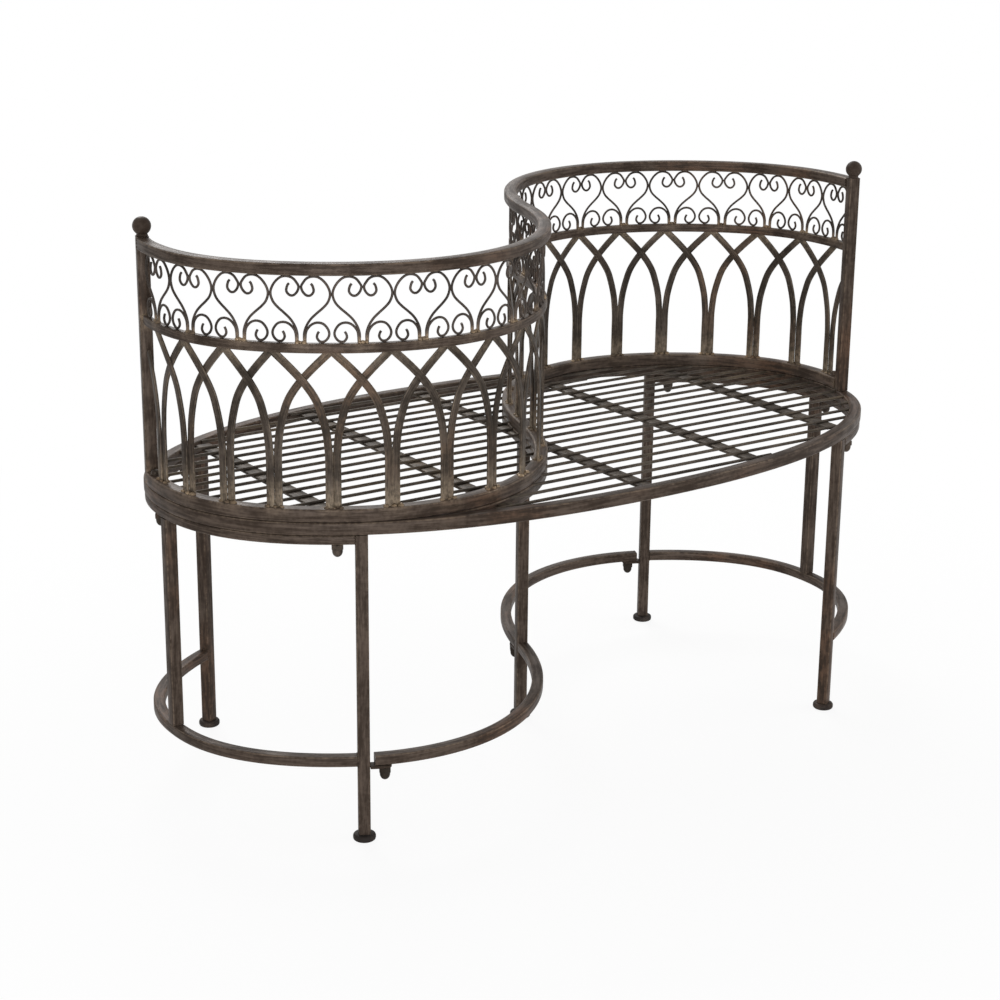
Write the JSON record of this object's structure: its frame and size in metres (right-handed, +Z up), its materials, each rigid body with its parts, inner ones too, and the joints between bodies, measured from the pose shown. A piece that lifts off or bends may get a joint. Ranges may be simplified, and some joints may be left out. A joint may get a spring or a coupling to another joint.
{
  "type": "kissing bench",
  "caption": "S-backed metal garden seat for sitters facing opposite ways, with an oval slatted seat, a back of scrollwork and pointed arches, and legs with curved stretchers.",
  "frame": {"origin": "on the floor under the middle of the bench, at the centre foot", "axes": "+X along the length of the oval seat, +Y away from the side that the left half of the back closes, +Z up"},
  "size_m": [1.133, 0.615, 0.7883],
  "materials": {
    "brown_bar_metal": "satin rustic brown",
    "brown_scroll_metal": "satin rustic brown",
    "brown_seat_metal": "satin rustic brown",
    "dark_fastener_metal": "satin dark brown",
    "dark_foot_metal": "satin dark brown"
  },
  "bodies": {
    "root": {"centre_foot": "dark_foot_metal", "centre_leg": "brown_bar_metal", "centre_leg_tab": "brown_bar_metal", "centre_tab_nut": "dark_fastener_metal", "far_centre_stretcher": "brown_bar_metal", "far_leg_tab": "brown_bar_metal", "far_tab_nut": "dark_fastener_metal", "left_arch_lattice": "brown_bar_metal", "left_bottom_rail": "brown_bar_metal", "left_end_frame_arc": "brown_bar_metal", "left_end_leg": "brown_bar_metal", "left_end_seat_nut": "dark_fastener_metal", "left_end_stretcher": "brown_bar_metal", "left_far_foot": "dark_foot_metal", "left_far_leg": "brown_bar_metal", "left_far_seat_nut": "dark_fastener_metal", "left_finial": "brown_bar_metal", "left_mid_rail": "brown_bar_metal", "left_near_foot": "dark_foot_metal", "left_near_leg": "brown_bar_metal", "left_near_seat_nut": "dark_fastener_metal", "left_post": "brown_bar_metal", "left_rail_bolt": "dark_fastener_metal", "left_scroll_frieze": "brown_scroll_metal", "left_seat_grille": "brown_seat_metal", "left_top_rail": "brown_bar_metal", "near_centre_stretcher": "brown_bar_metal", "near_leg_tab": "brown_bar_metal", "near_tab_nut": "dark_fastener_metal", "right_arch_lattice": "brown_bar_metal", "right_bottom_rail": "brown_bar_metal", "right_end_frame_arc": "brown_bar_metal", "right_end_leg": "brown_bar_metal", "right_end_seat_nut": "dark_fastener_metal", "right_end_stretcher": "brown_bar_metal", "right_far_foot": "dark_foot_metal", "right_far_leg": "brown_bar_metal", "right_far_seat_nut": "dark_fastener_metal", "right_finial": "brown_bar_metal", "right_mid_rail": "brown_bar_metal", "right_near_foot": "dark_foot_metal", "right_near_leg": "brown_bar_metal", "right_near_seat_nut": "dark_fastener_metal", "right_post": "brown_bar_metal", "right_rail_bolt": "dark_fastener_metal", "right_scroll_frieze": "brown_scroll_metal", "right_seat_grille": "brown_seat_metal", "right_top_rail": "brown_bar_metal", "seat_divider": "brown_bar_metal", "seat_ring": "brown_bar_metal"}
  },
  "joints": []
}
